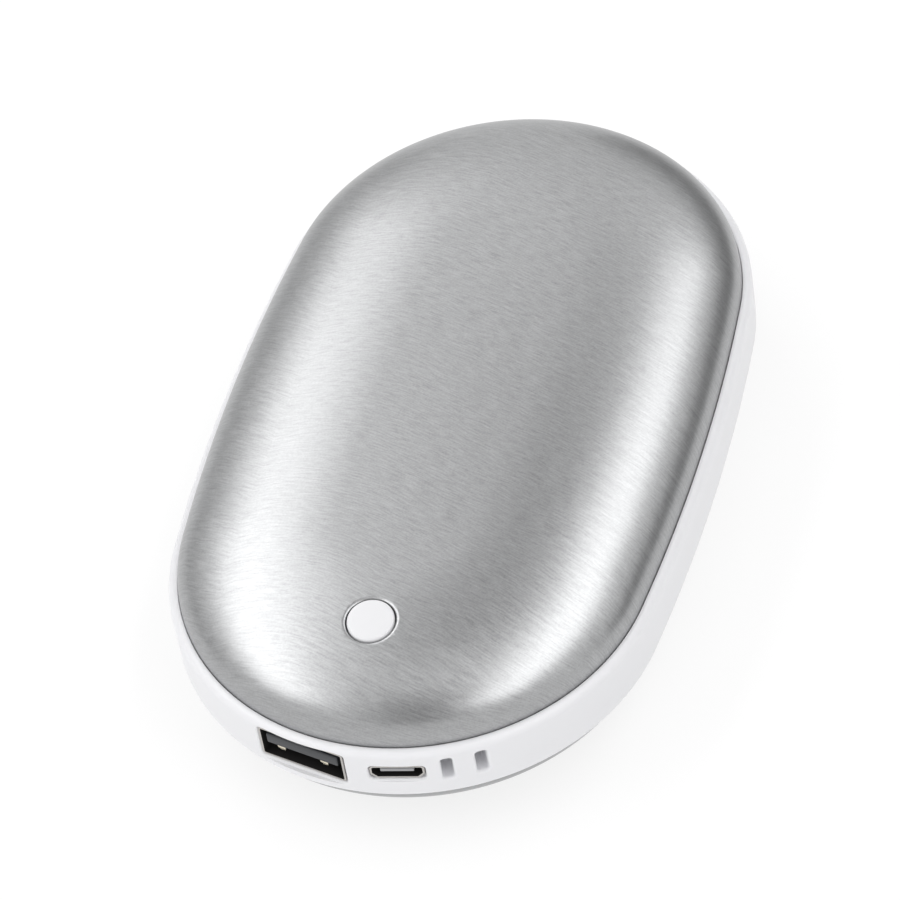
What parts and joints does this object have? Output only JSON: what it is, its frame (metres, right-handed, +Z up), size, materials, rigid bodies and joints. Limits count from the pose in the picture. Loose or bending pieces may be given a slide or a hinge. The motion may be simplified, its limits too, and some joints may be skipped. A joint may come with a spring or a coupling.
{
  "type": "rechargeable hand warmer",
  "caption": "Pebble-shaped rechargeable hand warmer: brushed metal shells on a white plastic band with a push button, a USB-A outlet, a micro-USB inlet and wrist cord slots.",
  "frame": {"origin": "on the ground under the middle of the body", "axes": "+Z up through the upper shell, -Y out of the sockets, +X across the width"},
  "size_m": [0.072, 0.12, 0.027],
  "materials": {
    "band_plastic": "smooth satin white moulding",
    "shell_aluminium": "brushed across the width",
    "button_plastic": "translucent white",
    "socket_steel": "plain rolled sheet",
    "socket_black": "moulded, black",
    "socket_grey": "moulded, grey",
    "contact_metal": "gold plated",
    "board_laminate": "green solder mask",
    "ferrite": "pressed ferrite, dark grey",
    "chip_resin": "moulded resin, black",
    "ceramic": "tan ceramic",
    "led_resin": "clear resin",
    "cell_wrap": "blue shrink wrap over a metal can",
    "nickel": "rolled nickel",
    "tray_plastic": "moulded, dark grey",
    "screw_steel": "zinc plated",
    "heater_film": "amber polyimide",
    "foam": "closed-cell foam",
    "sensor_resin": "dipped bead",
    "lead_red": "soft insulation",
    "lead_black": "soft insulation",
    "lead_white": "soft insulation"
  },
  "bodies": {
    "case": {"middle_frame": "band_plastic", "upper_shell": "shell_aluminium", "lower_shell": "shell_aluminium", "upper_gasket": "foam", "lower_gasket": "foam", "button_guide": "tray_plastic", "usb_a_shell": "socket_steel", "usb_a_tongue": "socket_black", "usb_a_contacts": "contact_metal", "micro_usb_shell": "socket_steel", "micro_usb_tongue": "socket_grey", "micro_usb_contacts": "contact_metal", "circuit_board": "board_laminate", "board_screws": "screw_steel", "inductor": "ferrite", "control_chips": "chip_resin", "capacitors": "ceramic", "indicator_leds": "led_resin", "switch_base": "chip_resin", "switch_cover": "socket_steel", "switch_legs": "nickel", "switch_dome": "nickel", "battery_cell_left": "cell_wrap", "battery_cell_right": "cell_wrap", "battery_tab_front": "nickel", "battery_tab_rear": "nickel", "battery_tray": "tray_plastic", "tray_screws": "screw_steel", "upper_heating_film": "heater_film", "lower_heating_film": "heater_film", "upper_foam_pad": "foam", "lower_foam_pad": "foam", "thermistors": "sensor_resin", "upper_heater_leads": "lead_white", "lower_heater_leads": "lead_white", "battery_lead_positive": "lead_red", "battery_lead_negative": "lead_black"},
    "button": {"power_button": "button_plastic"},
    "plunger": {"switch_plunger": "chip_resin"}
  },
  "joints": [
    {"name": "button_press", "type": "slide", "parent": "case", "child": "button", "axis": [0, 0, -1], "range_m": [0, 0.0004], "stiffness_N_per_m": 4000, "deforming": ["switch_dome"]},
    {"name": "plunger_press", "type": "slide", "parent": "case", "child": "plunger", "axis": [0, 0, -1], "range_m": [0, 0.0004]}
  ],
  "couplings": [
    {"joint": "plunger_press", "follows": "button_press", "ratio": 1}
  ]
}
